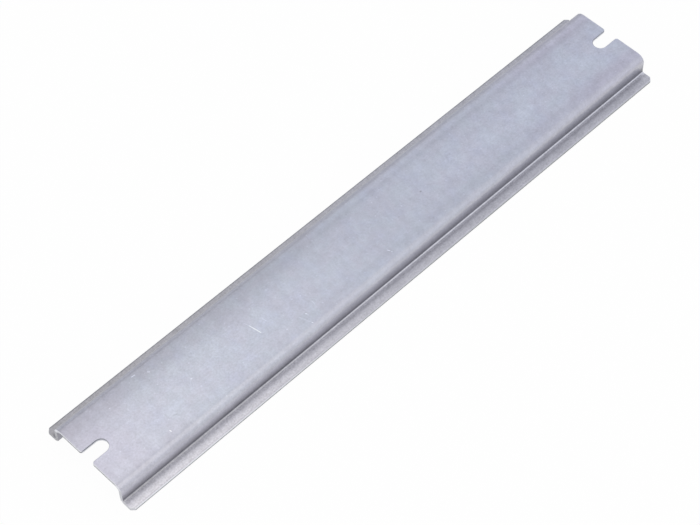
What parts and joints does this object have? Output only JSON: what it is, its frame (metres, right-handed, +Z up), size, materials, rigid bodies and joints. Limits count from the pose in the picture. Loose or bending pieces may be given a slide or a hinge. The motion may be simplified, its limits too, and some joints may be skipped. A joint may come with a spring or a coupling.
{
  "type": "din rail",
  "caption": "Short piece of 35 x 7.5 mm top-hat mounting rail in zinc-plated steel, with an open screw slot in each end and cut flange corners.",
  "frame": {"origin": "middle of the rail, in the plane of the flanges' faces that it lies on", "axes": "+X along the rail, +Y across it, +Z up towards the crown, whose face goes against the mounting panel"},
  "size_m": [0.21, 0.035, 0.0075],
  "materials": {
    "zinc_plated_steel": "satin, zinc plated, with fine lines along the rolling direction"
  },
  "bodies": {
    "root": {"rail": "zinc_plated_steel"}
  },
  "joints": []
}
